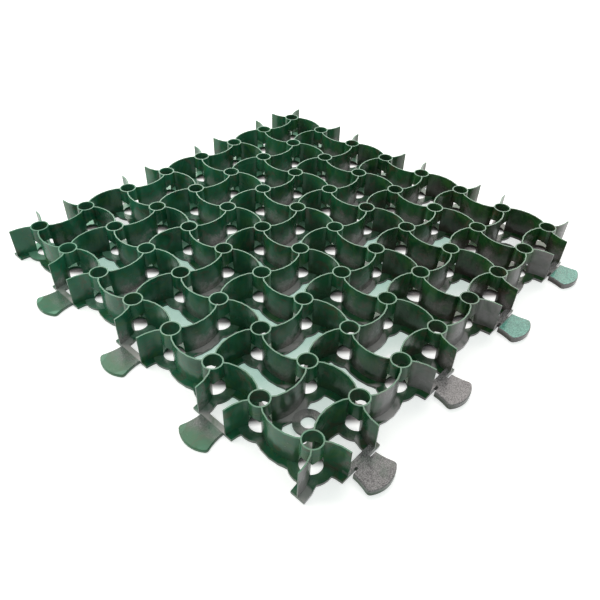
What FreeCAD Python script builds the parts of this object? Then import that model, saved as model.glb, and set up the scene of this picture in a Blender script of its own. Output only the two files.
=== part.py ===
import FreeCAD, Part
import math
import os

# Grass paver grid, moulded in one piece. All sizes in millimetres.
# Z is up from the ground, X and Y run along the module's edges.

# Mesh of the module
PITCH = 62.5               # tube to tube, both ways
COUNT = 8                  # tubes along each edge
HEIGHT = 38.0              # ground to rims
WALL_T = 1.4               # waved wall

# Tapered tubes at the crossings
TUBE_RIM_OD = 21.0
TUBE_FOOT_OD = 25.0
TUBE_WALL = 1.4
WINDOW_W = 19.5            # arched opening in each quarter of a tube
WINDOW_H = 20.0            # from the foot's upper face to the crown of the arch

# Flats that stand for the round stretches, few because each repeats at every tube
TUBE_SIDES = 12
DISC_SIDES = 12
ARCH_SIDES = 4
ARCH_FROM = 33            # degrees above the springing; below that a window reaches its walls
WALL_BENDS = (0, 20, 32.5, 45)   # degrees along half a wall, from its tube's centre

# Foot that spreads the load on the ground
FOOT_T = 3.0
FOOT_W = 15.5              # strip under each wall
DISC_OD = 42.0             # disc under each tube

# Fixing eyes in the corner cells
EYE_OD = 30.4
EYE_BORE = 14.6

# Tongues on two sides and the sockets that take the next module's tongues
TONGUE_ROOT_W = 31.5
TONGUE_MID_W = 33.5
TONGUE_TIP_W = 40.2        # between the sharp corners, before rounding
TONGUE_TIP_X = 22.2        # module edge to the sharp corners
TONGUE_REACH = 30.0        # module edge to the middle of the rounded end
TONGUE_CORNER_R = 4.0
TONGUE_BEVEL = 0.8         # upper edge
TONGUE_LOW_T = 3.0         # tongues on the -Y side
TONGUE_HIGH_T = 6.5        # tongues on the +X side
NECK_W = 16.4
SLIT_W = 2.8               # between a high tongue's shoulders and the module edge
BAR_W = 6.0                # cross bar between two wall ends
SOCKET_GAP = 0.8

# Every wall is a quarter circle from tube centre to tube centre
ARC_R = PITCH / math.sqrt(2)
SWAY = ARC_R - PITCH / 2   # how far a wall bows to one side
EDGE = COUNT * PITCH / 2   # module centre to module edge
UP = FreeCAD.Vector(0, 0, 1)
CENTRE = FreeCAD.Vector(0, 0, 0)


def spot(step):
    """Place of tube number step along an edge, from the module's centre."""
    return (step - (COUNT - 1) / 2) * PITCH


def polar(radius, degrees, z=0):
    """Point at a radius and an angle about the Z axis."""
    angle = math.radians(degrees)
    return FreeCAD.Vector(radius * math.cos(angle), radius * math.sin(angle), z)


def ring(diameter, sides, z=0):
    """Corners of a closed polygon whose flats face along X and Y."""
    return [polar(diameter / 2, 360 * (k + 0.5) / sides, z) for k in range(sides + 1)]


def half_arc(width, height):
    """Half a wall's length, from its tube's centre to the middle of its bow."""
    hub = FreeCAD.Vector(PITCH / 2, -PITCH / 2, 0)
    outer = [hub + polar(ARC_R + width / 2, 135 - bend) for bend in WALL_BENDS]
    inner = [hub + polar(ARC_R - width / 2, 135 - bend) for bend in WALL_BENDS]
    outline = outer + inner[::-1] + outer[:1]
    return Part.Face(Part.makePolygon(outline)).extrude(UP * height)


def taper(foot_diameter, rim_diameter):
    """Solid tapered tube shape, ground to rim."""
    foot = ring(foot_diameter, TUBE_SIDES)
    rim = ring(rim_diameter, TUBE_SIDES, HEIGHT)
    outlines = [foot, rim]
    for k in range(TUBE_SIDES):
        outlines.append([foot[k], foot[k + 1], rim[k + 1], rim[k], foot[k]])
    faces = [Part.Face(Part.makePolygon(outline)) for outline in outlines]
    return Part.Solid(Part.Shell(faces))


def arch(length):
    """Arched window on the X axis, long enough to pass through a tube."""
    radius = WINDOW_W / 2
    spring = FOOT_T + WINDOW_H - radius
    step = (180 - 2 * ARCH_FROM) / ARCH_SIDES
    head = [polar(radius, ARCH_FROM + step * k) for k in range(ARCH_SIDES + 1)]
    outline = [FreeCAD.Vector(-length / 2, p.x, spring + p.y) for p in head]
    outline.append(FreeCAD.Vector(-length / 2, -radius, FOOT_T))
    outline.append(FreeCAD.Vector(-length / 2, radius, FOOT_T))
    outline.append(outline[0])
    return Part.Face(Part.makePolygon(outline)).extrude(FreeCAD.Vector(length, 0, 0))


def tube():
    """Tapered tube with a window in each quarter, before its bore."""
    shell = taper(TUBE_FOOT_OD, TUBE_RIM_OD)
    along_x = arch(2 * TUBE_FOOT_OD)
    along_y = along_x.copy()
    along_y.rotate(CENTRE, UP, 90)
    return shell.cut([along_x, along_y])


def tile():
    """One tube with its foot and the near half of its four walls, a pinwheel one pitch square."""
    disc = Part.Face(Part.makePolygon(ring(DISC_OD, DISC_SIDES))).extrude(UP * FOOT_T)
    arm = half_arc(WALL_T, HEIGHT).fuse(half_arc(FOOT_W, FOOT_T))
    pieces = [disc]
    for quarter in range(4):
        turned = arm.copy()
        turned.rotate(CENTRE, UP, 90 * quarter)
        pieces.append(turned)
    bore = taper(TUBE_FOOT_OD - 2 * TUBE_WALL, TUBE_RIM_OD - 2 * TUBE_WALL)
    return tube().multiFuse(pieces).cut(bore).removeSplitter()


def row(first, second):
    """Tiles along X, the two hands by turns."""
    tiles = []
    for i in range(COUNT):
        piece = (second if i % 2 else first).copy()
        piece.translate(FreeCAD.Vector(spot(i), 0, 0))
        tiles.append(piece)
    return tiles[0].multiFuse(tiles[1:])


def mesh():
    """All rows, each tile the mirror image of the four beside it."""
    right_hand = tile()
    left_hand = right_hand.mirror(CENTRE, FreeCAD.Vector(0, 1, 0))
    kinds = (row(right_hand, left_hand), row(left_hand, right_hand))
    rows = []
    for j in range(COUNT):
        placed = kinds[j % 2].copy()
        placed.translate(FreeCAD.Vector(0, -spot(j), 0))
        rows.append(placed)
    return rows[0].multiFuse(rows[1:])


def eyes():
    """Fixing eyes, each bridging the narrow waist of a corner cell."""
    waist = spot(COUNT - 1) - PITCH / 2
    rings = []
    for x in (-waist, waist):
        for y in (-waist, waist):
            middle = FreeCAD.Vector(x, y, 0)
            plate = Part.makeCylinder(EYE_OD / 2, FOOT_T, middle)
            rings.append(plate.cut(Part.makeCylinder(EYE_BORE / 2, FOOT_T, middle)))
    return rings


def tongue_plan(start, gap):
    """Tongue's outline pointing along +X, gap larger all round, cut off at x = start."""
    tip = TONGUE_TIP_X + gap
    sides = []
    for side in (1, -1):
        root = FreeCAD.Vector(start, side * (TONGUE_ROOT_W / 2 + gap), 0)
        middle = FreeCAD.Vector(tip / 2, side * (TONGUE_MID_W / 2 + gap), 0)
        corner = FreeCAD.Vector(tip, side * (TONGUE_TIP_W / 2 + gap), 0)
        sides.append((root, middle, corner))
    (root_a, middle_a, corner_a), (root_b, middle_b, corner_b) = sides
    end = FreeCAD.Vector(TONGUE_REACH + gap, 0, 0)
    edges = [
        Part.makeLine(root_b, root_a),
        Part.Arc(root_a, middle_a, corner_a).toShape(),
        Part.Arc(corner_a, end, corner_b).toShape(),
        Part.Arc(corner_b, middle_b, root_b).toShape(),
    ]
    return Part.Face(Part.Wire(edges))


def round_corners(prism, start):
    """Round the prism's two upright edges at its free end."""
    upright = [e for e in prism.Edges if e.BoundBox.ZLength > 1 and e.BoundBox.XMin > start + 1]
    return prism.makeFillet(TONGUE_CORNER_R, upright)


def tongue(thickness, slit):
    """Tongue with its neck and the cross bar that carries it, its shoulders a slit away from the bar."""
    blade = tongue_plan(slit, 0).extrude(FreeCAD.Vector(0, 0, thickness))
    blade = round_corners(blade, slit)
    rim = [e for e in blade.Edges
           if e.BoundBox.ZMin > thickness - 0.01 and e.BoundBox.XMax > slit + 0.01]
    blade = blade.makeChamfer(TONGUE_BEVEL, rim)
    neck = Part.makeBox(BAR_W + 2 * slit, NECK_W, thickness, FreeCAD.Vector(-BAR_W, -NECK_W / 2, 0))
    span = PITCH - 2 * SWAY
    bar = Part.makeBox(BAR_W, span, thickness, FreeCAD.Vector(-BAR_W, -span / 2, 0))
    return blade.multiFuse([neck, bar])


def socket():
    """Room for one tongue in the foot of the next module, opening at x = 0."""
    room = tongue_plan(0, SOCKET_GAP).extrude(FreeCAD.Vector(0, 0, FOOT_T))
    return round_corners(room, 0)


def along_edges(shape, steps, angle, side):
    """Copies of shape turned by angle, at the waists beside the numbered tubes on one edge."""
    copies = []
    for step in steps:
        piece = shape.copy()
        piece.rotate(CENTRE, UP, angle)
        waist = spot(step) + PITCH / 2
        place = (side * EDGE, -waist) if angle == 0 else (waist, side * EDGE)
        piece.translate(FreeCAD.Vector(*place, 0))
        copies.append(piece)
    return copies


def paver_grid():
    """The whole module, its bounding box centred over the origin."""
    even = range(0, COUNT - 1, 2)
    odd = range(1, COUNT - 1, 2)
    tongues = along_edges(tongue(TONGUE_HIGH_T, SLIT_W), even, 0, 1)
    tongues += along_edges(tongue(TONGUE_LOW_T, 0), odd, -90, -1)
    sockets = along_edges(socket(), even, 0, -1)
    sockets += along_edges(socket(), odd, -90, 1)
    grid = mesh().multiFuse(tongues + eyes()).cut(sockets)
    grid.translate(FreeCAD.Vector(-TONGUE_REACH / 2, TONGUE_REACH / 2, 0))
    return grid


os.makedirs("parts", exist_ok=True)
grid = paver_grid()
solid = grid.Solids[0]
print("solids", len(grid.Solids), "valid", solid.isValid(), "volume cm3", round(solid.Volume / 1000, 1))
solid.exportStep("parts/paver_grid.step")
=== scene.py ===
import math
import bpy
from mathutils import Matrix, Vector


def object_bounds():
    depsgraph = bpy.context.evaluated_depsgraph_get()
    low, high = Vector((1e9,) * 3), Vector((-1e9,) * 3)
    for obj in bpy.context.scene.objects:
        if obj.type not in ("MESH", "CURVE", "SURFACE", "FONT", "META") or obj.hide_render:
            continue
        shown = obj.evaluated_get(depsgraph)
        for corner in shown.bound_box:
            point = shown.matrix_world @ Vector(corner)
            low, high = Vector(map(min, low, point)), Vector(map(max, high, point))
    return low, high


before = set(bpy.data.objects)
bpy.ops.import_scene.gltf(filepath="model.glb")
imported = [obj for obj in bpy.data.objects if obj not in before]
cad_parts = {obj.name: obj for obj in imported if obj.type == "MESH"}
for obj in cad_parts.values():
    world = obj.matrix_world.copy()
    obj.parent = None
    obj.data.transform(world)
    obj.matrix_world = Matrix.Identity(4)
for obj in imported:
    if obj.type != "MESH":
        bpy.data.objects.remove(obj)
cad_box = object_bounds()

from types import SimpleNamespace
import bpy
from mathutils import Euler, Matrix, Vector

# The paver grid is one injection moulding in recycled polyethylene, green all through, with no other part.
# Its mould is turned and milled, so tubes and discs are truly round and every arris is crisp.
# The CAD node is the piece that shows: its short flats are rounded here, and it gets its finish.

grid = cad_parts["paver_grid"]
pitch = 0.0625                        # tube to tube; this and all sizes here are in metres
half_pitch = pitch / 2
half_module = 4 * pitch
west = round(cad_box[0].x, 4)         # -X edge of the module, which ends the box because it has no tongues
north = round(cad_box[1].y, 4)        # +Y edge, likewise
east = west + 2 * half_module         # +X edge, with the high tongues
south = north - 2 * half_module       # -Y edge, with the low tongues
centre_x = west + half_module
centre_y = south + half_module
rim_top = round(cad_box[1].z, 4)
foot_top = 0.003
tongue_top = 0.0065                   # high tongues; the low ones are as thin as the foot
bar_width = 0.006                     # cross bar along the module's edge that carries a tongue
tube_radius = 0.0125                  # outside, at the foot
disc_radius = 0.021                   # foot disc under each tube
wall_radius = pitch / math.sqrt(2)    # arc of each wall in plan, a quarter circle from tube to tube
eye_radius = 0.0152                   # fixing eye
eye_place = half_module - pitch       # fixing eye from the module's centre, both ways


def linear(hex_colour):
    """sRGB hex to the linear RGBA that Blender's sockets take."""
    channels = [int(hex_colour[k:k + 2], 16) / 255 for k in (1, 3, 5)]
    return [c / 12.92 if c <= 0.04045 else ((c + 0.055) / 1.055) ** 2.4 for c in channels] + [1.0]


def add_node(tree, kind, links=(), **settings):
    """Add one node; settings name its properties, and inputs= gives socket values by name or number."""
    made = tree.nodes.new(kind)
    inputs = settings.pop("inputs", {})
    for key, value in settings.items():
        setattr(made, key, value)
    for key, value in inputs.items():
        made.inputs[key].default_value = value
    for source, key in links:
        tree.links.new(source, made.inputs[key])
    return made


def from_tube_axis(tree, place):
    """Level vector to a point from the axis of the tube in whose square, one pitch wide, it lies."""
    moved = add_node(tree, "ShaderNodeVectorMath", [(place, 0)], operation="ADD",
                     inputs={1: (half_pitch - centre_x, half_pitch - centre_y, 0)})
    local = add_node(tree, "ShaderNodeVectorMath", [(moved.outputs[0], 0)], operation="WRAP",
                     inputs={1: (half_pitch, half_pitch, 1), 2: (-half_pitch, -half_pitch, -1)})
    return add_node(tree, "ShaderNodeVectorMath", [(local.outputs[0], 0)], operation="MULTIPLY",
                    inputs={1: (1, 1, 0)}).outputs[0]


def from_module_centre(tree, place):
    """Place of a point from the module's middle, with all signs dropped."""
    centred = add_node(tree, "ShaderNodeVectorMath", [(place, 0)], operation="ADD",
                       inputs={1: (-centre_x, -centre_y, 0)})
    return add_node(tree, "ShaderNodeVectorMath", [(centred.outputs[0], 0)], operation="ABSOLUTE").outputs[0]


def moulded_form(piece):
    """Halve every edge, push tube and disc facets out to the circle they stand for, keep arrises sharp.

    About each tube's axis a flat of the twelve-sided tube lies at cos(15) / cos(a) of its radius, a being
    the angle from the flat's middle, so points move out by cos(a) / cos(15) - 1 of their distance from it.
    """
    half_flat = math.radians(15)
    crease = 0.70                        # radians; an edge that bends less is shaded smooth
    disc_flats = disc_radius - 0.0008    # just inside the middles of a disc's flats
    disc_corners = disc_radius + 0.0001
    tree = bpy.data.node_groups.new("moulded_form", "GeometryNodeTree")
    tree.interface.new_socket("Geometry", in_out="INPUT", socket_type="NodeSocketGeometry")
    tree.interface.new_socket("Geometry", in_out="OUTPUT", socket_type="NodeSocketGeometry")
    start = add_node(tree, "NodeGroupInput")
    halved = add_node(tree, "GeometryNodeSubdivideMesh", [(start.outputs[0], "Mesh")], inputs={"Level": 1})
    place = add_node(tree, "GeometryNodeInputPosition").outputs[0]

    # how far each point would move
    flat = from_tube_axis(tree, place)
    axis = add_node(tree, "ShaderNodeSeparateXYZ", [(flat, 0)]).outputs
    turn = add_node(tree, "ShaderNodeMath", [(axis["Y"], 0), (axis["X"], 1)], operation="ARCTAN2")
    angle = add_node(tree, "ShaderNodeMath", [(turn.outputs[0], 0)], operation="WRAP",
                     inputs={1: half_flat, 2: -half_flat})
    cosine = add_node(tree, "ShaderNodeMath", [(angle.outputs[0], 0)], operation="COSINE")
    growth = add_node(tree, "ShaderNodeMath", [(cosine.outputs[0], 0)], operation="MULTIPLY_ADD",
                      inputs={1: 1 / math.cos(half_flat), 2: -1})
    push = add_node(tree, "ShaderNodeVectorMath", [(flat, 0), (growth.outputs[0], "Scale")],
                    operation="SCALE")

    # the points that do: all in a tube, and those round a disc that are as low as the foot and on the module
    radius = add_node(tree, "ShaderNodeVectorMath", [(flat, 0)], operation="LENGTH").outputs["Value"]
    in_tube = add_node(tree, "ShaderNodeMath", [(radius, 0)], operation="LESS_THAN",
                       inputs={1: tube_radius + 0.0002})
    on_disc = add_node(tree, "ShaderNodeMath", [(radius, 0)], operation="COMPARE",
                       inputs={1: (disc_flats + disc_corners) / 2, 2: (disc_corners - disc_flats) / 2})
    height = add_node(tree, "ShaderNodeSeparateXYZ", [(place, 0)]).outputs["Z"]
    low = add_node(tree, "ShaderNodeMath", [(height, 0)], operation="LESS_THAN",
                   inputs={1: foot_top + 0.0001})
    sides = add_node(tree, "ShaderNodeSeparateXYZ", [(from_module_centre(tree, place), 0)]).outputs
    reach = add_node(tree, "ShaderNodeMath", [(sides["X"], 0), (sides["Y"], 1)], operation="MAXIMUM")
    within = add_node(tree, "ShaderNodeMath", [(reach.outputs[0], 0)], operation="LESS_THAN",
                      inputs={1: half_module - 0.0005})
    low_ring = add_node(tree, "ShaderNodeMath", [(on_disc.outputs[0], 0), (low.outputs[0], 1)],
                        operation="MULTIPLY")
    on_foot = add_node(tree, "ShaderNodeMath", [(low_ring.outputs[0], 0), (within.outputs[0], 1)],
                       operation="MULTIPLY")
    chosen = add_node(tree, "ShaderNodeMath", [(in_tube.outputs[0], 0), (on_foot.outputs[0], 1)],
                      operation="MAXIMUM")
    rounded = add_node(tree, "GeometryNodeSetPosition", [
        (halved.outputs[0], "Geometry"), (chosen.outputs[0], "Selection"), (push.outputs[0], "Offset")])

    smooth = add_node(tree, "GeometryNodeSetShadeSmooth", [(rounded.outputs[0], "Geometry")], domain="FACE")
    bend = add_node(tree, "GeometryNodeInputMeshEdgeAngle").outputs["Unsigned Angle"]
    sharp = add_node(tree, "ShaderNodeMath", [(bend, 0)], operation="GREATER_THAN", inputs={1: crease})
    creased = add_node(tree, "GeometryNodeSetShadeSmooth",
                       [(smooth.outputs[0], "Geometry"), (sharp.outputs[0], "Selection")],
                       domain="EDGE", inputs={"Shade Smooth": False})
    add_node(tree, "NodeGroupOutput", [(creased.outputs[0], 0)])
    piece.modifiers.new("moulded_form", "NODES").node_group = tree


joined = grid.modifiers.new("joined_facets", "WELD")
joined.merge_threshold = 1e-5
# thinned so that the rounded piece has under 200,000 triangles; the surface moves by 0.05 mm at most
spared = grid.modifiers.new("spare_facets", "DECIMATE")
spared.ratio = 0.95
moulded_form(grid)


def surface_readings(tree):
    """What the finish is laid out by: a point's place, the way it faces, and the plastic's own patterns."""
    place = add_node(tree, "ShaderNodeTexCoord").outputs["Object"]
    normal = add_node(tree, "ShaderNodeNewGeometry").outputs["Normal"]
    here = SimpleNamespace(place=place)
    here.axis = add_node(tree, "ShaderNodeSeparateXYZ", [(place, "Vector")]).outputs
    here.facing = add_node(tree, "ShaderNodeSeparateXYZ", [(normal, "Vector")]).outputs
    here.local = from_tube_axis(tree, place)
    here.radius = add_node(tree, "ShaderNodeVectorMath", [(here.local, 0)],
                           operation="LENGTH").outputs["Value"]
    # how far a face looks away from its tube's axis, more than 0 on a wall's bulging side and less than 0
    # on its hollow one
    here.bulge = add_node(tree, "ShaderNodeVectorMath", [(here.local, 0), (normal, 1)],
                          operation="DOT_PRODUCT").outputs["Value"]

    # flow marks about 45 mm long, clouds of regrind about 24 mm and odd batches about 16 mm across
    here.flow = add_node(tree, "ShaderNodeTexNoise", [(place, "Vector")], inputs={
        "Scale": 1 / 0.045, "Detail": 3.0, "Roughness": 0.55, "Distortion": 0.6}).outputs["Fac"]
    here.regrind = add_node(tree, "ShaderNodeTexNoise", [(place, "Vector")], inputs={
        "Scale": 1 / 0.024, "Detail": 4.0, "Roughness": 0.6, "Distortion": 0.4}).outputs["Fac"]
    here.batch = add_node(tree, "ShaderNodeTexNoise", [(place, "Vector")], inputs={
        "Scale": 1 / 0.016, "Detail": 3.0, "Roughness": 0.6, "Distortion": 0.8}).outputs["Fac"]
    # the moulded grain is finer than this 1 mm, at which it still shows
    here.grain = add_node(tree, "ShaderNodeTexNoise", [(place, "Vector")], inputs={
        "Scale": 1 / 0.001, "Detail": 2.0, "Roughness": 0.5}).outputs["Fac"]
    here.speck = add_node(tree, "ShaderNodeMapRange", [(here.grain, "Value")],
                          inputs={"From Min": 0.36, "From Max": 0.64}).outputs[0]
    # height over an uneven line about 30 mm up, below which the brown clouds thicken and the painted light
    # from +X grows
    here.line = add_node(tree, "ShaderNodeMath", [(here.regrind, 0), (here.axis["Z"], 2)],
                         operation="MULTIPLY_ADD", inputs={1: -0.06}).outputs[0]
    return here


def clouded_green(tree, here):
    """Base colour: two greens along the module, odd patches, and brown clouds low on walls."""
    # towards the -X, -Y corner the green is teal, and across from there it is browner and darker
    # (a colour Mix node's two colours are its inputs 6 and 7, and its result is output 2)
    run = add_node(tree, "ShaderNodeMath", [(here.axis["X"], 0), (here.axis["Y"], 1)],
                   operation="ADD").outputs[0]
    across = add_node(tree, "ShaderNodeMapRange", [(run, "Value")], inputs={
        "From Min": -0.25, "From Max": 0.3}).outputs[0]
    shade = add_node(tree, "ShaderNodeMapRange", [(here.flow, "Value")], inputs={
        "From Min": 0.35, "From Max": 0.65}).outputs[0]
    teal = add_node(tree, "ShaderNodeMix", [(shade, "Factor")], data_type="RGBA",
                    inputs={6: linear("#10543a"), 7: linear("#2d795b")}).outputs[2]
    dark = add_node(tree, "ShaderNodeMix", [(shade, "Factor")], data_type="RGBA",
                    inputs={6: linear("#0b3514"), 7: linear("#20552b")}).outputs[2]
    body = add_node(tree, "ShaderNodeMix", [(across, "Factor"), (teal, 6), (dark, 7)],
                    data_type="RGBA").outputs[2]

    # odd batches in the regrind show as olive and red-brown patches
    olive = add_node(tree, "ShaderNodeMapRange", [(here.batch, "Value")], inputs={
        "From Min": 0.50, "From Max": 0.66, "To Max": 0.55}).outputs[0]
    reddish = add_node(tree, "ShaderNodeMapRange", [(here.batch, "Value")], inputs={
        "From Min": 0.46, "From Max": 0.34, "To Max": 0.40}).outputs[0]
    with_olive = add_node(tree, "ShaderNodeMix", [(olive, "Factor"), (body, 6)], data_type="RGBA",
                          inputs={7: linear("#3d6430")}).outputs[2]
    mottled = add_node(tree, "ShaderNodeMix", [(reddish, "Factor"), (with_olive, 6)], data_type="RGBA",
                       inputs={7: linear("#634539")}).outputs[2]

    # brown clouds lie on upright faces, most of all far from the teal corner
    brown = add_node(tree, "ShaderNodeMapRange", [(across, "Value")], inputs={
        "From Min": 0.3, "To Min": 0.15, "To Max": 0.75}).outputs[0]
    upright = add_node(tree, "ShaderNodeMapRange", [(here.facing["Z"], "Value"), (brown, "To Max")],
                       inputs={"From Min": 0.9, "From Max": 0.7}).outputs[0]
    cloud = add_node(tree, "ShaderNodeMapRange", [(here.line, "Value"), (upright, "To Max")],
                     inputs={"From Min": 0.0, "From Max": -0.020}).outputs[0]
    return add_node(tree, "ShaderNodeMix", [(cloud, "Factor"), (mottled, 6)], data_type="RGBA",
                    inputs={7: linear("#4f3f42")}).outputs[2]


def painted_east_light(tree, here, colour):
    """Colour with pale grey painted light from +X, low on the walls' bulging sides, most on those to +X, and
    on the foot.
    """
    turned = add_node(tree, "ShaderNodeMapRange", [(here.facing["X"], "Value")], inputs={
        "From Min": 0.2, "From Max": 0.7, "To Min": 0.35, "To Max": 1.0}).outputs[0]
    bulging = add_node(tree, "ShaderNodeMapRange", [(here.bulge, "Value"), (turned, "To Max")],
                       inputs={"From Min": 0.001, "From Max": 0.008}).outputs[0]

    # on the foot it lies along the bulging side of the walls that run in Y, and on the bars at the -Y edge
    quarter = add_node(tree, "ShaderNodeVectorMath", [(here.local, 0)], operation="ABSOLUTE").outputs[0]
    off_axis = add_node(tree, "ShaderNodeSeparateXYZ", [(quarter, 0)]).outputs
    bar_side = south + bar_width
    bar = add_node(tree, "ShaderNodeMapRange", [(here.axis["Y"], "Value")], inputs={
        "From Min": bar_side + 0.0005, "From Max": bar_side - 0.0002, "To Max": 0.05}).outputs[0]
    reach = add_node(tree, "ShaderNodeMath", [(off_axis["Y"], 0), (bar, 1)], operation="ADD").outputs[0]
    along = add_node(tree, "ShaderNodeMath", [(reach, 0), (off_axis["X"], 1)],
                     operation="SUBTRACT").outputs[0]
    from_hub = add_node(tree, "ShaderNodeVectorMath", [(quarter, 0)], operation="DISTANCE",
                        inputs={1: (-half_pitch, half_pitch, 0)}).outputs["Value"]
    before = add_node(tree, "ShaderNodeMapRange", [(from_hub, "Value")], inputs={
        "From Min": wall_radius, "From Max": wall_radius + 0.0008}).outputs[0]
    strip = add_node(tree, "ShaderNodeMapRange", [(along, "Value"), (before, "To Max")], inputs={
        "From Min": -0.002, "From Max": 0.002}).outputs[0]
    foot = add_node(tree, "ShaderNodeMapRange", [(here.facing["Z"], "Value"), (strip, "To Max")], inputs={
        "From Min": 0.9, "From Max": 0.98}).outputs[0]

    # tubes stay clear of it, the row at the -Y edge has it only on stubs and bars, and it ends towards -X
    lit_faces = add_node(tree, "ShaderNodeMath", [(bulging, 0), (foot, 1)], operation="MAXIMUM").outputs[0]
    clear = add_node(tree, "ShaderNodeMapRange", [(here.radius, "Value"), (lit_faces, "To Max")], inputs={
        "From Min": tube_radius + 0.0015, "From Max": tube_radius + 0.0065}).outputs[0]
    stub = add_node(tree, "ShaderNodeMapRange", [(off_axis["Y"], "Value")], inputs={
        "From Min": tube_radius + 0.0040, "From Max": tube_radius + 0.0065, "To Max": 0.75}).outputs[0]
    on_module = add_node(tree, "ShaderNodeMapRange", [(here.axis["Y"], "Value"), (stub, "To Max")], inputs={
        "From Min": south - 0.0005, "From Max": south + 0.0005}).outputs[0]
    inner_rows = add_node(tree, "ShaderNodeMapRange", [(here.axis["Y"], "Value"), (on_module, "To Min")],
                          inputs={"From Min": south + 0.035, "From Max": south + 0.045,
                                  "To Max": 1.0}).outputs[0]
    lit_off_tubes = add_node(tree, "ShaderNodeMath", [(clear, 0), (inner_rows, 1)], operation="MULTIPLY").outputs[0]
    lit_eastward = add_node(tree, "ShaderNodeMapRange", [(here.axis["X"], "Value"), (lit_off_tubes, "To Max")], inputs={
        "From Min": west + 0.005, "From Max": west + 0.135}).outputs[0]
    # painted light from +X, stronger the lower it lies
    light_share = add_node(tree, "ShaderNodeMapRange", [(here.line, "Value"), (lit_eastward, "To Max")], inputs={
        "From Min": -0.010, "From Max": -0.024}).outputs[0]

    speckled = add_node(tree, "ShaderNodeMix", [(here.speck, "Factor")], data_type="RGBA",
                    inputs={6: linear("#8a7f82"), 7: linear("#c2b7ba")}).outputs[2]
    lit_grey = add_node(tree, "ShaderNodeMix", [(foot, "Factor"), (speckled, 6)], data_type="RGBA",
                   inputs={7: linear("#b9b3b4")}).outputs[2]
    return add_node(tree, "ShaderNodeMix", [(light_share, "Factor"), (colour, 6), (lit_grey, 7)],
                    data_type="RGBA").outputs[2]


def painted_light_on_walls(tree, here):
    """Share of painted light from +X, in pale grey, on the walls turned to +X near that edge, and on the
    stubs where they end.
    """
    near = add_node(tree, "ShaderNodeMapRange", [(here.axis["Y"], "Value")], inputs={
        "From Min": -0.06, "From Max": 0.06, "To Min": 1.0, "To Max": 0.95}).outputs[0]
    by_edge = add_node(tree, "ShaderNodeMapRange", [(here.axis["X"], "Value"), (near, "To Max")],
                       inputs={"From Min": east - 0.115, "From Max": east - 0.035}).outputs[0]
    swollen = add_node(tree, "ShaderNodeMapRange", [(here.bulge, "Value"), (by_edge, "To Max")], inputs={
        "From Min": 0.001, "From Max": 0.008}).outputs[0]
    off_tube = add_node(tree, "ShaderNodeMapRange", [(here.radius, "Value"), (swollen, "To Max")], inputs={
        "From Min": tube_radius, "From Max": tube_radius + 0.0025}).outputs[0]
    walls = add_node(tree, "ShaderNodeMapRange", [(here.facing["X"], "Value"), (off_tube, "To Max")],
                     inputs={"From Min": 0.25, "From Max": 0.75}).outputs[0]

    # the stubs have it on their hollow sides and ends, more towards +Y, and none at the -Y corner
    farther = add_node(tree, "ShaderNodeMapRange", [(here.axis["Y"], "Value")], inputs={
        "From Min": -0.15, "From Max": -0.03, "To Min": 0.4, "To Max": 0.85}).outputs[0]
    past_corner = add_node(tree, "ShaderNodeMapRange", [(here.axis["Y"], "Value"), (farther, "To Max")],
                           inputs={"From Min": south + 0.050, "From Max": south + 0.060}).outputs[0]
    ends = add_node(tree, "ShaderNodeMapRange", [(here.axis["X"], "Value"), (past_corner, "To Max")],
                    inputs={"From Min": east - 0.023, "From Max": east - 0.019}).outputs[0]
    end_faces = add_node(tree, "ShaderNodeMapRange", [(here.facing["X"], "Value"), (ends, "To Max")],
                         inputs={"From Min": -0.08, "From Max": 0.02}).outputs[0]
    stubs = add_node(tree, "ShaderNodeMapRange", [(here.facing["Z"], "Value"), (end_faces, "To Max")],
                     inputs={"From Min": 0.9, "From Max": 0.7}).outputs[0]
    return add_node(tree, "ShaderNodeMath", [(walls, 0), (stubs, 1)], operation="MAXIMUM").outputs[0]


def grey_on_eyes(tree, here):
    """Share of plain grey on the four fixing eyes."""
    to_eye = add_node(tree, "ShaderNodeVectorMath", [(from_module_centre(tree, here.place), 0)],
                      operation="DISTANCE", inputs={1: (eye_place, eye_place, foot_top / 2)})
    return add_node(tree, "ShaderNodeMapRange", [(to_eye.outputs["Value"], "Value")], inputs={
        "From Min": eye_radius + 0.0005, "From Max": eye_radius - 0.0002, "To Max": 0.75}).outputs[0]


def painted_sheen_on_discs(tree, here):
    """Share of painted pale sheen on top of the foot's discs, most towards -X."""
    share = add_node(tree, "ShaderNodeMapRange", [(here.axis["X"], "Value")], inputs={
        "From Min": -0.25, "From Max": 0.15, "To Min": 0.9, "To Max": 0.15}).outputs[0]
    on_disc = add_node(tree, "ShaderNodeMapRange", [(here.radius, "Value"), (share, "To Max")], inputs={
        "From Min": disc_radius + 0.0005, "From Max": disc_radius - 0.0005}).outputs[0]
    level = add_node(tree, "ShaderNodeMapRange", [(here.facing["Z"], "Value"), (on_disc, "To Max")],
                     inputs={"From Min": 0.9, "From Max": 0.98}).outputs[0]
    return add_node(tree, "ShaderNodeMapRange", [(here.axis["Z"], "Value"), (level, "To Max")], inputs={
        "From Min": foot_top + 0.0012, "From Max": foot_top + 0.0002}).outputs[0]


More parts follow.
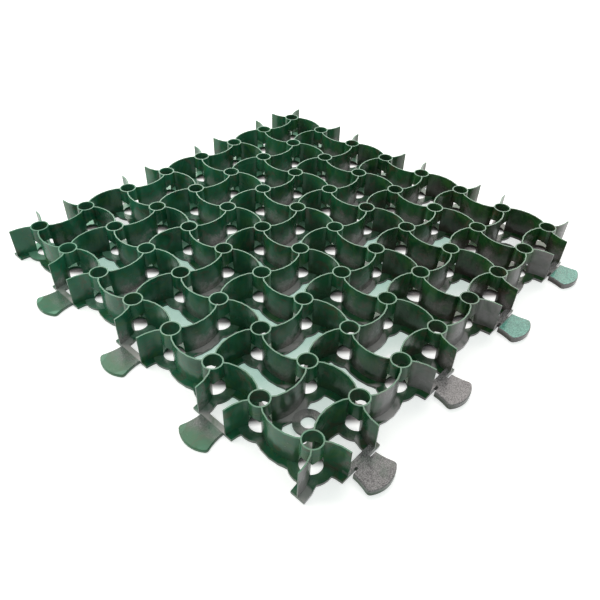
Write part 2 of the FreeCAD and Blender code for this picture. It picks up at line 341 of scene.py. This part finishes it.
def painted_sheen_on_high_tongues(tree, here):
    """Share of painted sheen on the high tongues and their bars, strongest on top, none as low as the foot.
    """
    topside = add_node(tree, "ShaderNodeMapRange", [(here.facing["Z"], "Value")], inputs={
        "From Min": 0.3, "From Max": 0.7, "To Min": 0.55, "To Max": 1.3}).outputs[0]
    above_foot = add_node(tree, "ShaderNodeMapRange", [(here.axis["Z"], "Value"), (topside, "To Max")],
                          inputs={"From Min": foot_top + 0.0002, "From Max": foot_top + 0.0012}).outputs[0]
    below_walls = add_node(tree, "ShaderNodeMapRange", [(here.axis["Z"], "Value"), (above_foot, "To Max")],
                           inputs={"From Min": tongue_top + 0.0020,
                                   "From Max": tongue_top + 0.0005}).outputs[0]
    bar_side = east - bar_width
    return add_node(tree, "ShaderNodeMapRange", [(here.axis["X"], "Value"), (below_walls, "To Max")],
                    inputs={"From Min": bar_side - 0.0005, "From Max": bar_side + 0.0002}).outputs[0]


def grey_on_low_tongues(tree, here):
    """Share of grey on the low tongues, less towards their tips, and where it is green there."""
    tongues = add_node(tree, "ShaderNodeMapRange", [(here.axis["Y"], "Value")], inputs={
        "From Min": south + 0.0005, "From Max": south - 0.0005}).outputs[0]
    uneven = add_node(tree, "ShaderNodeMath", [(here.regrind, 0), (here.axis["Y"], 2)],
                      operation="MULTIPLY_ADD", inputs={1: 0.03}).outputs[0]
    tips = add_node(tree, "ShaderNodeMapRange", [(uneven, "Value")], inputs={
        "From Min": south + 0.010, "From Max": south - 0.003}).outputs[0]
    fading_to_tips = add_node(tree, "ShaderNodeMapRange", [(tips, "Value")], inputs={
        "To Min": 0.6, "To Max": 0.4}).outputs[0]
    share = add_node(tree, "ShaderNodeMath", [(tongues, 0), (fading_to_tips, 1)], operation="MULTIPLY").outputs[0]
    green = add_node(tree, "ShaderNodeMath", [(tongues, 0), (tips, 1)], operation="MULTIPLY").outputs[0]
    return share, green


def pale_overlay(tree, here, colour):
    """Pale overlay, painted light and sheen except on eyes and low tongues: grey, mint on far high tongues,
    green on low tips and discs.
    """
    discs = painted_sheen_on_discs(tree, here)
    low_tongues, green_tips = grey_on_low_tongues(tree, here)
    pale_share = painted_light_on_walls(tree, here)
    for area in (grey_on_eyes(tree, here), painted_sheen_on_high_tongues(tree, here), low_tongues, discs):
        pale_share = add_node(tree, "ShaderNodeMath", [(pale_share, 0), (area, 1)], operation="MAXIMUM").outputs[0]
    patch_noise = add_node(tree, "ShaderNodeMapRange", [(here.regrind, "Value")], inputs={
        "From Min": 0.35, "From Max": 0.65, "To Min": 0.5, "To Max": 1.3}).outputs[0]
    patchy = add_node(tree, "ShaderNodeMath", [(pale_share, 0), (patch_noise, 1)], operation="MULTIPLY",
                      use_clamp=True).outputs[0]

    dotted = add_node(tree, "ShaderNodeMapRange", [(here.facing["Z"], "Value"), (here.speck, "To Max")],
                      inputs={"From Min": 0.3, "From Max": 0.7, "To Min": 0.6}).outputs[0]
    pale_grey = add_node(tree, "ShaderNodeMix", [(dotted, "Factor")], data_type="RGBA",
                     inputs={6: linear("#565255"), 7: linear("#9d999a")}).outputs[2]
    # mint, speckled, on the far high tongues' tops: a painted reflection
    mint = add_node(tree, "ShaderNodeMix", [(here.speck, "Factor")], data_type="RGBA",
                    inputs={6: linear("#2b7567"), 7: linear("#6cb8a7")}).outputs[2]
    blades = add_node(tree, "ShaderNodeMapRange", [(here.axis["X"], "Value")], inputs={
        "From Min": east + 0.0025, "From Max": east + 0.0045}).outputs[0]
    tops = add_node(tree, "ShaderNodeMapRange", [(here.facing["Z"], "Value"), (blades, "To Max")],
                    inputs={"From Min": 0.9, "From Max": 0.98}).outputs[0]
    far_tops = add_node(tree, "ShaderNodeMapRange", [(here.axis["Y"], "Value"), (tops, "To Max")],
                        inputs={"From Min": -0.02, "From Max": 0.06}).outputs[0]
    tinted = add_node(tree, "ShaderNodeMix", [(far_tops, "Factor"), (pale_grey, 6), (mint, 7)],
                      data_type="RGBA").outputs[2]
    tipped = add_node(tree, "ShaderNodeMix", [(green_tips, "Factor"), (tinted, 6)], data_type="RGBA",
                      inputs={7: linear("#4f7352")}).outputs[2]
    # painted sheen on the discs' tops, in pale green
    sheened_discs = add_node(tree, "ShaderNodeMix", [(discs, "Factor"), (tipped, 6)], data_type="RGBA",
                       inputs={7: linear("#86c4a6")}).outputs[2]
    return add_node(tree, "ShaderNodeMix", [(patchy, "Factor"), (colour, 6), (sheened_discs, 7)],
                    data_type="RGBA").outputs[2]


def recycled_polyethylene():
    """Moulded regrind: waxy dark green, mottled, clouded with brown, grey in places, with painted light,
    sheen and rim highlights.
    """
    material = bpy.data.materials.new("recycled_polyethylene_green")
    material.use_nodes = True
    tree = material.node_tree
    shader = tree.nodes["Principled BSDF"]
    here = surface_readings(tree)
    # painted light from +X, low on the walls and on the foot
    east_lit = painted_east_light(tree, here, clouded_green(tree, here))
    # pale overlay: painted light and sheen on the +X walls, stubs, high tongues and discs, plain grey on
    # eyes and low tongues
    overlaid = pale_overlay(tree, here, east_lit)

    # painted highlight on the rims' tops, pale, most towards -X
    rim_highlight_share = add_node(tree, "ShaderNodeMapRange", [(here.axis["X"], "Value")], inputs={
        "From Min": -0.1, "From Max": 0.22, "To Min": 0.6, "To Max": 0.4}).outputs[0]
    rim = add_node(tree, "ShaderNodeMapRange", [(here.axis["Z"], "Value"), (rim_highlight_share, "To Max")], inputs={
        "From Min": rim_top - 0.0004, "From Max": rim_top - 0.00005}).outputs[0]
    painted_rim_highlight = add_node(tree, "ShaderNodeMix", [(rim, "Factor"), (overlaid, 6)], data_type="RGBA",
                         inputs={7: linear("#82b097")}).outputs[2]
    tree.links.new(painted_rim_highlight, shader.inputs["Base Color"])

    # polyethylene's waxy gloss, uneven where the regrind clouds it and dull in the bores, on a faint grain
    gloss = add_node(tree, "ShaderNodeMapRange", [(here.regrind, "Value")], inputs={
        "From Min": 0.3, "From Max": 0.7, "To Min": 0.18, "To Max": 0.30}).outputs[0]
    hollow = add_node(tree, "ShaderNodeMapRange", [(here.bulge, "Value")], inputs={
        "From Min": -0.006, "From Max": -0.0085}).outputs[0]
    bore = add_node(tree, "ShaderNodeMapRange", [(here.radius, "Value"), (hollow, "To Max")], inputs={
        "From Min": tube_radius + 0.001, "From Max": tube_radius}).outputs[0]
    dulled = add_node(tree, "ShaderNodeMapRange", [(bore, "Value"), (gloss, "To Min")],
                      inputs={"To Max": 0.6}).outputs[0]
    tree.links.new(dulled, shader.inputs["Roughness"])
    relief = add_node(tree, "ShaderNodeBump", [(here.grain, "Height")], inputs={
        "Strength": 0.2, "Distance": 0.0002}).outputs[0]
    tree.links.new(relief, shader.inputs["Normal"])
    shader.inputs["IOR"].default_value = 1.54
    shader.inputs["Specular IOR Level"].default_value = 0.36
    return material


grid.data.materials.clear()
grid.data.materials.append(recycled_polyethylene())

# The floor is a plain matt white sheet that the grid lies on, lit by the same lamps and shaded by the grid.
# To the camera it glows up to white, but faintly green under the module, where the plastic tints its light,
# and in the far half of each tube it has a painted grey shadow.

floor_reach = 6.0
floor_level = -0.0004    # just below the foot, so that the two faces don't flicker through each other


def white_sheet():
    """Matt white sheet whose glow shows only to the camera and in gloss, tinted in cells, with painted
    shadow in tubes.
    """
    material = bpy.data.materials.new("white_sheet")
    material.use_nodes = True
    tree = material.node_tree
    shader = tree.nodes["Principled BSDF"]
    shader.inputs["Roughness"].default_value = 0.9
    place = add_node(tree, "ShaderNodeTexCoord").outputs["Object"]
    eastward = add_node(tree, "ShaderNodeSeparateXYZ", [(place, 0)]).outputs["X"]
    # outward is the distance from the box's middle along X or along Y, whichever is larger
    apart = add_node(tree, "ShaderNodeVectorMath", [(place, 0)], operation="ABSOLUTE").outputs[0]
    sides = add_node(tree, "ShaderNodeSeparateXYZ", [(apart, 0)]).outputs
    outward = add_node(tree, "ShaderNodeMath", [(sides["X"], 0), (sides["Y"], 1)],
                       operation="MAXIMUM").outputs[0]
    from_tube = from_tube_axis(tree, place)
    radius = add_node(tree, "ShaderNodeVectorMath", [(from_tube, 0)], operation="LENGTH").outputs["Value"]
    in_square = add_node(tree, "ShaderNodeSeparateXYZ", [(from_tube, 0)]).outputs
    westward = add_node(tree, "ShaderNodeMath", [(in_square["X"], 0)], operation="MULTIPLY",
                        inputs={1: -1}).outputs[0]

    # white beyond the module and by its +X edge, in each tube and beside it to -X and +Y, tinted elsewhere
    beyond = add_node(tree, "ShaderNodeMapRange", [(outward, "Value")], inputs={
        "From Min": 0.195, "From Max": 0.215}).outputs[0]
    bright = add_node(tree, "ShaderNodeMapRange", [(eastward, "Value"), (beyond, "To Min")], inputs={
        "From Min": 0.1, "From Max": 0.22, "To Max": 1.0}).outputs[0]
    behind = add_node(tree, "ShaderNodeMath", [(westward, 0), (in_square["Y"], 1)],
                      operation="MINIMUM").outputs[0]
    sheltered = add_node(tree, "ShaderNodeMapRange", [(behind, "Value"), (bright, "To Min")], inputs={
        "From Min": 0.0, "From Max": 0.006, "To Max": 1.0}).outputs[0]
    plain = add_node(tree, "ShaderNodeMapRange", [(radius, "Value"), (sheltered, "To Min")], inputs={
        "From Min": tube_radius + 0.0015, "From Max": tube_radius - 0.001, "To Max": 1.0}).outputs[0]
    glow = add_node(tree, "ShaderNodeMix", [(plain, "Factor")], data_type="RGBA",
                    inputs={6: linear("#a8d4c4"), 7: linear("#ffffff")}).outputs[2]
    tree.links.new(glow, shader.inputs["Emission Color"])

    # painted shadow, grey, in the half of each tube towards -X and +Y, and not where the tubes' pattern goes
    # on outside
    back = add_node(tree, "ShaderNodeMath", [(westward, 0), (in_square["Y"], 1)], operation="ADD").outputs[0]
    under_module = add_node(tree, "ShaderNodeMapRange", [(outward, "Value")], inputs={
        "From Min": 0.2525, "From Max": 0.2500}).outputs[0]
    far_half = add_node(tree, "ShaderNodeMapRange", [(back, "Value"), (under_module, "To Max")], inputs={
        "From Min": -0.003, "From Max": 0.007}).outputs[0]
    shaded = add_node(tree, "ShaderNodeMapRange", [(radius, "Value"), (far_half, "To Max")], inputs={
        "From Min": tube_radius + 0.001, "From Max": tube_radius}).outputs[0]
    painted_shadow_colour = add_node(tree, "ShaderNodeMix", [(shaded, "Factor")], data_type="RGBA",
                      inputs={6: linear("#f0f0f0"), 7: linear("#8f888b")}).outputs[2]
    tree.links.new(painted_shadow_colour, shader.inputs["Base Color"])
    level = add_node(tree, "ShaderNodeMapRange", [(shaded, "Value")], inputs={
        "To Min": 0.55, "To Max": 0.0}).outputs[0]
    ray = add_node(tree, "ShaderNodeLightPath").outputs
    direct = add_node(tree, "ShaderNodeMath", [(ray["Is Camera Ray"], 0), (ray["Is Glossy Ray"], 1)],
                      operation="MAXIMUM").outputs[0]
    lift = add_node(tree, "ShaderNodeMath", [(direct, 0), (level, 1)], operation="MULTIPLY").outputs[0]
    tree.links.new(lift, shader.inputs["Emission Strength"])
    return material


floor_corners = [(x * floor_reach, y * floor_reach, floor_level)
                 for x, y in ((-1, -1), (1, -1), (1, 1), (-1, 1))]
floor_mesh = bpy.data.meshes.new("floor")
floor_mesh.from_pydata(floor_corners, [], [(0, 1, 2, 3)])
floor_mesh.materials.append(white_sheet())
floor = bpy.data.objects.new("floor", floor_mesh)
bpy.context.scene.collection.objects.link(floor)

# Studio light: an even white room, a large softbox behind the module, whose sheen lies on all that is
# level, and a smaller one on the left that opens up the walls facing it.

world = bpy.data.worlds.new("white_room")
bpy.context.scene.world = world
world.use_nodes = True
room = world.node_tree
sky = room.nodes["Background"]
path = add_node(room, "ShaderNodeLightPath").outputs
tint = add_node(room, "ShaderNodeMix", [(path["Is Camera Ray"], "Factor")], data_type="RGBA",
                inputs={6: linear("#eaf6f1"), 7: linear("#ffffff")}).outputs[2]
room.links.new(tint, sky.inputs["Color"])
shown = add_node(room, "ShaderNodeMath", [(path["Is Camera Ray"], 0), (path["Is Glossy Ray"], 1)],
                 operation="MAXIMUM").outputs[0]
room_level = add_node(room, "ShaderNodeMapRange", [(shown, "Value")],
                      inputs={"To Min": 0.55, "To Max": 1.0}).outputs[0]
room.links.new(room_level, sky.inputs["Strength"])


def softbox(name, place, width, height, power):
    """A rectangular area lamp at place, facing the module, a little warm."""
    lamp = bpy.data.lights.new(name, "AREA")
    lamp.shape = "RECTANGLE"
    lamp.size = width
    lamp.size_y = height
    lamp.energy = power
    lamp.color = linear("#fff4f0")[:3]
    holder = bpy.data.objects.new(name, lamp)
    holder.location = place
    holder.rotation_euler = (-Vector(place)).to_track_quat("-Z", "Y").to_euler()
    bpy.context.scene.collection.objects.link(holder)


softbox("back_softbox", place=(-0.85, 1.3, 1.45), width=2.6, height=1.5, power=40)
softbox("side_softbox", place=(-1.4, -1.0, 0.9), width=1.2, height=1.2, power=17)

# The camera stands 0.75 m from the module's middle and looks down at 41 degrees, as in the photograph.
# Its place, angles and lens are those at which the 64 tube rims fall where the photograph has them.

tilt = math.radians(48.6452)       # up from straight down
roll = math.radians(-1.6849)
heading = math.radians(42.7940)    # from +Y towards -X
stand = Matrix.Translation((0.384008, -0.431511, 0.445611))
lens = bpy.data.cameras.new("camera")
lens.sensor_width = 36.0
lens.lens = 35.463
lens.clip_start = 0.01
camera = bpy.data.objects.new("camera", lens)
camera.matrix_world = stand @ Euler((tilt, roll, heading)).to_matrix().to_4x4()
bpy.context.scene.collection.objects.link(camera)
bpy.context.scene.camera = camera
bpy.context.scene.view_settings.view_transform = "Standard"
